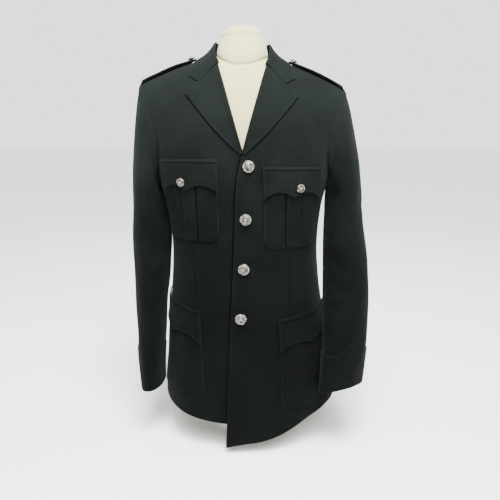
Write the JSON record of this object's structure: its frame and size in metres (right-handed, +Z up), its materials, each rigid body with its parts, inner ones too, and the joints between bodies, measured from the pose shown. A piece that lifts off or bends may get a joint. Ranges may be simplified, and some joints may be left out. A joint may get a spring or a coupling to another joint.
{
  "type": "police uniform tunic on a dress form",
  "caption": "Single-breasted police uniform tunic with epaulettes, patch pockets and metal buttons, worn by a limbless dress form on a short round stand.",
  "frame": {"origin": "centre of the underside of the stand's base, on the floor", "axes": "+Z up, +X towards the wearer's left, -Y towards the front"},
  "size_m": [0.5302, 0.3074, 0.9141],
  "materials": {
    "wool": "matt, very dark green-black wool twill",
    "jersey": "cream cotton jersey cover",
    "button_metal": "bright silver plated",
    "stand_metal": "satin steel",
    "stand_enamel": "off-white enamel"
  },
  "bodies": {
    "root": {"front_left": "wool", "front_right": "wool", "back": "wool", "sleeve_left": "wool", "sleeve_right": "wool", "cuff_left": "wool", "cuff_right": "wool", "collar": "wool", "lapel_left": "wool", "lapel_right": "wool", "epaulette_left": "wool", "epaulette_right": "wool", "chest_pocket_left": "wool", "chest_pocket_right": "wool", "chest_flap_left": "wool", "chest_flap_right": "wool", "lower_pocket_left": "wool", "lower_pocket_right": "wool", "lower_flap_left": "wool", "lower_flap_right": "wool", "front_button_1": "button_metal", "front_button_2": "button_metal", "front_button_3": "button_metal", "front_button_4": "button_metal", "chest_button_left": "button_metal", "chest_button_right": "button_metal", "epaulette_button_left": "button_metal", "epaulette_button_right": "button_metal", "form_torso": "jersey", "form_neck": "jersey", "stand_column": "stand_metal", "stand_base": "stand_enamel"}
  },
  "joints": []
}
